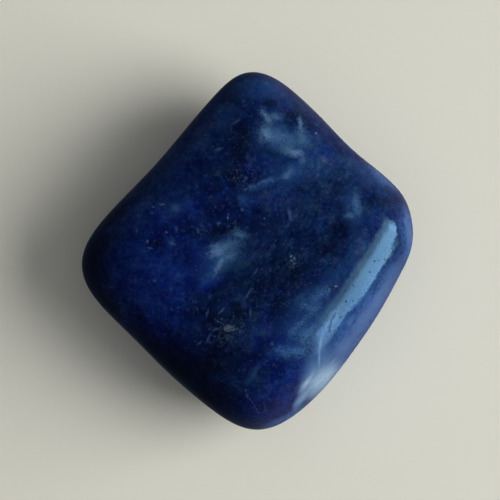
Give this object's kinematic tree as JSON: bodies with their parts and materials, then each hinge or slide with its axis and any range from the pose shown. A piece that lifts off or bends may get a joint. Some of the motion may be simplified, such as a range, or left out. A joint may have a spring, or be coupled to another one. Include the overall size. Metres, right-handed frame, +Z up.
{
  "type": "tumbled sodalite stone",
  "caption": "Tumbled and polished sodalite, a rounded lozenge pebble of deep blue stone with pale and near-black patches, lying on its broad flat side.",
  "frame": {"origin": "on the resting plane, under the middle of the stone's bounding box", "axes": "+Z up through the stone's thickness, +Y along its longer diagonal, +X along its shorter diagonal"},
  "size_m": [0.033, 0.0358, 0.016],
  "materials": {
    "polished_sodalite": "polished, royal to navy blue with pale blue and white patches and near-black spots"
  },
  "bodies": {
    "root": {"sodalite_stone": "polished_sodalite"}
  },
  "joints": []
}
